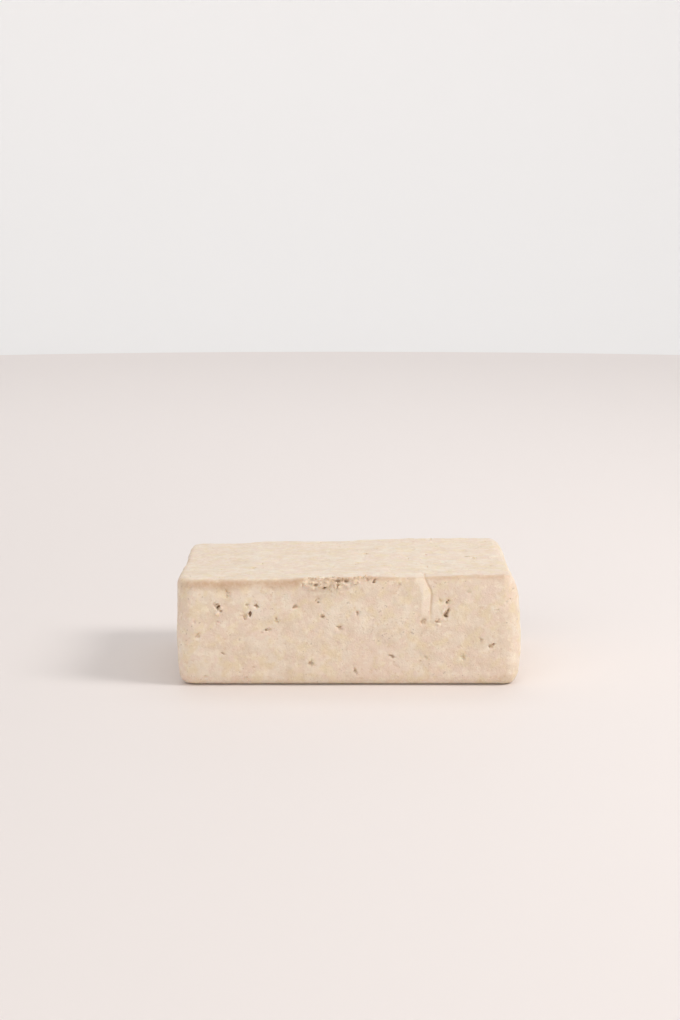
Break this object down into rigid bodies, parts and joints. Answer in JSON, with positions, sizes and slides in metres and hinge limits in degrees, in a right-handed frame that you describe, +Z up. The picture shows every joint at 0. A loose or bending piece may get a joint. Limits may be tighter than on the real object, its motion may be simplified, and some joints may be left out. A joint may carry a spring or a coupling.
{
  "type": "tofu block",
  "caption": "Rectangular block of pressed firm tofu, lying flat, with soft edges, small pits, a creased fold in its front face and a crumbled front top edge.",
  "frame": {"origin": "middle of the block's base, on the surface it stands on", "axes": "+X along the block's length, to the right seen from the front; -Y out of the front face; +Z up"},
  "size_m": [0.1162, 0.0802, 0.0379],
  "materials": {
    "tofu": "satin"
  },
  "bodies": {
    "root": {"tofu_block": "tofu"}
  },
  "joints": []
}
